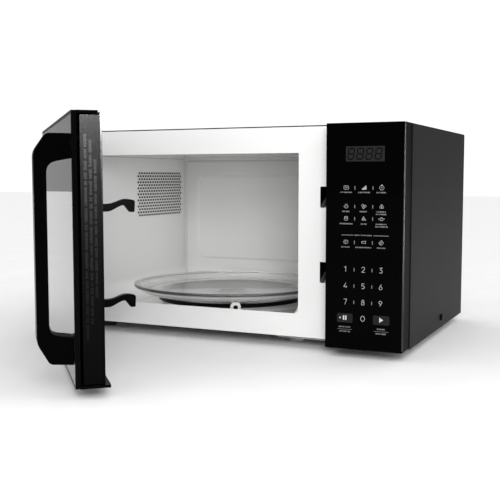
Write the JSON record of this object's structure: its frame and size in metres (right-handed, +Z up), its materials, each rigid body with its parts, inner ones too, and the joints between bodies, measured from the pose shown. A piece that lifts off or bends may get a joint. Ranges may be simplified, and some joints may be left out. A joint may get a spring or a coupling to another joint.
{
  "type": "microwave oven",
  "caption": "Countertop microwave oven with a side-hinged window door standing open, glass turntable on a roller ring, control panel at the right and latch hooks on the door.",
  "frame": {"origin": "bottom centre of the box round the oven with its door at rest, 48 degrees open, on the surface it stands on", "axes": "+X to the right as the user faces it, +Y to the back, +Z up"},
  "size_m": [0.4856, 0.6094, 0.257],
  "materials": {
    "cover_paint": "fine-textured dark charcoal powder coat",
    "white_enamel": "satin white cavity enamel",
    "zinc_steel": "galvanised sheet",
    "black_steel": "black painted perforated steel",
    "matte_plastic": "fine-grained black",
    "gloss_plastic": "polished black",
    "display_plastic": "unlit grey display filter",
    "clear_glass": "clear pressed glass",
    "door_glass": "dark tinted glass",
    "clear_film": "clear film",
    "roller_plastic": "white",
    "foot_rubber": "dull black",
    "foot_steel": "grey painted pressed steel",
    "cast_iron": "varnished laminations",
    "copper": "varnished copper wire",
    "aluminium": "drawn",
    "mica": "flat mica sheet",
    "board_green": "solder mask",
    "white_plastic": "heat-resistant moulding",
    "bulb_glass": "clear bulb",
    "spring_steel": "spring wire",
    "screw_steel": "black zinc"
  },
  "bodies": {
    "cabinet": {"outer_cover": "cover_paint", "base_plate": "zinc_steel", "front_plate": "white_enamel", "cavity_left_wall": "white_enamel", "cavity_right_wall": "white_enamel", "cavity_floor": "white_enamel", "cavity_ceiling": "white_enamel", "cavity_back_wall": "white_enamel", "rear_panel": "zinc_steel", "foot_front_left": "foot_rubber", "foot_front_right": "foot_rubber", "foot_rear_left": "foot_rubber", "foot_rear_right": "foot_rubber", "foot_middle": "foot_steel", "side_screw_left": "screw_steel", "side_screw_right": "screw_steel", "cord_gland": "matte_plastic", "turntable_motor": "zinc_steel", "control_panel_housing": "matte_plastic", "panel_fascia": "gloss_plastic", "display_window": "display_plastic", "display_module": "matte_plastic", "keypad_membrane": "display_plastic", "control_board": "board_green", "latch_bracket": "matte_plastic", "latch_ramp_upper": "matte_plastic", "interlock_switch_upper": "matte_plastic", "latch_ramp_lower": "matte_plastic", "interlock_switch_lower": "matte_plastic", "interlock_switch_monitor": "matte_plastic", "waveguide_cover": "mica", "waveguide": "aluminium", "magnetron": "aluminium", "transformer_core": "cast_iron", "transformer_primary": "copper", "transformer_secondary": "copper", "capacitor": "aluminium", "fan_shroud": "matte_plastic", "fan_motor": "cast_iron", "air_duct": "matte_plastic", "oven_lamp": "bulb_glass", "lamp_holder": "white_plastic", "hinge_bracket_top": "zinc_steel", "hinge_bracket_bottom": "zinc_steel"},
    "turntable_drive": {"turntable_coupler": "matte_plastic"},
    "turntable": {"turntable_plate": "clear_glass"},
    "roller_ring": {"roller_ring": "matte_plastic"},
    "roller_1": {"roller_1": "roller_plastic"},
    "roller_2": {"roller_2": "roller_plastic"},
    "roller_3": {"roller_3": "roller_plastic"},
    "cooling_fan": {"fan_rotor": "matte_plastic"},
    "door": {"door_outer_frame": "matte_plastic", "door_glass": "door_glass", "door_screen": "black_steel", "door_choke_cover": "matte_plastic", "door_inner_film": "clear_film", "door_handle": "matte_plastic", "latch_spring": "spring_steel"},
    "latch": {"door_latch": "matte_plastic"}
  },
  "joints": [
    {"name": "door_swing", "type": "hinge", "parent": "cabinet", "child": "door", "pos_m": [-0.22686, 0.00081, 0.133], "axis": [0, 0, 1], "range_deg": [-55, 48]},
    {"name": "latch_lift", "type": "slide", "parent": "door", "child": "latch", "axis": [0, 0, 1], "range_m": [0, 0.006], "stiffness_N_per_m": 500, "springref_m": -0.003, "deforming": ["latch_spring"]},
    {"name": "turntable_spin", "type": "hinge", "parent": "cabinet", "child": "turntable_drive", "pos_m": [-0.04476, 0.15521, 0.035], "axis": [0, 0, 1], "continuous": true},
    {"name": "turntable_lift_off", "type": "slide", "parent": "turntable_drive", "child": "turntable", "axis": [0, 0, 1], "range_m": [0, 0.03]},
    {"name": "roller_ring_spin", "type": "hinge", "parent": "cabinet", "child": "roller_ring", "pos_m": [-0.04476, 0.15521, 0.035], "axis": [0, 0, 1], "continuous": true},
    {"name": "roller_1_roll", "type": "hinge", "parent": "roller_ring", "child": "roller_1", "pos_m": [0.00548, 0.06074, 0.035], "axis": [0.4695, -0.8829, 0], "continuous": true},
    {"name": "roller_2_roll", "type": "hinge", "parent": "roller_ring", "child": "roller_2", "pos_m": [0.01195, 0.24596, 0.035], "axis": [0.5299, 0.848, 0], "continuous": true},
    {"name": "roller_3_roll", "type": "hinge", "parent": "roller_ring", "child": "roller_3", "pos_m": [-0.15169, 0.15895, 0.035], "axis": [-0.9994, 0.0349, 0], "continuous": true},
    {"name": "fan_spin", "type": "hinge", "parent": "cabinet", "child": "cooling_fan", "pos_m": [0.17274, 0.28671, 0.176], "axis": [0, 1, 0], "continuous": true}
  ],
  "couplings": [
    {"joint": "roller_ring_spin", "follows": "turntable_spin", "ratio": 0.5},
    {"joint": "roller_1_roll", "follows": "turntable_spin", "ratio": -7.8677},
    {"joint": "roller_2_roll", "follows": "turntable_spin", "ratio": -7.8677},
    {"joint": "roller_3_roll", "follows": "turntable_spin", "ratio": -7.8677}
  ]
}
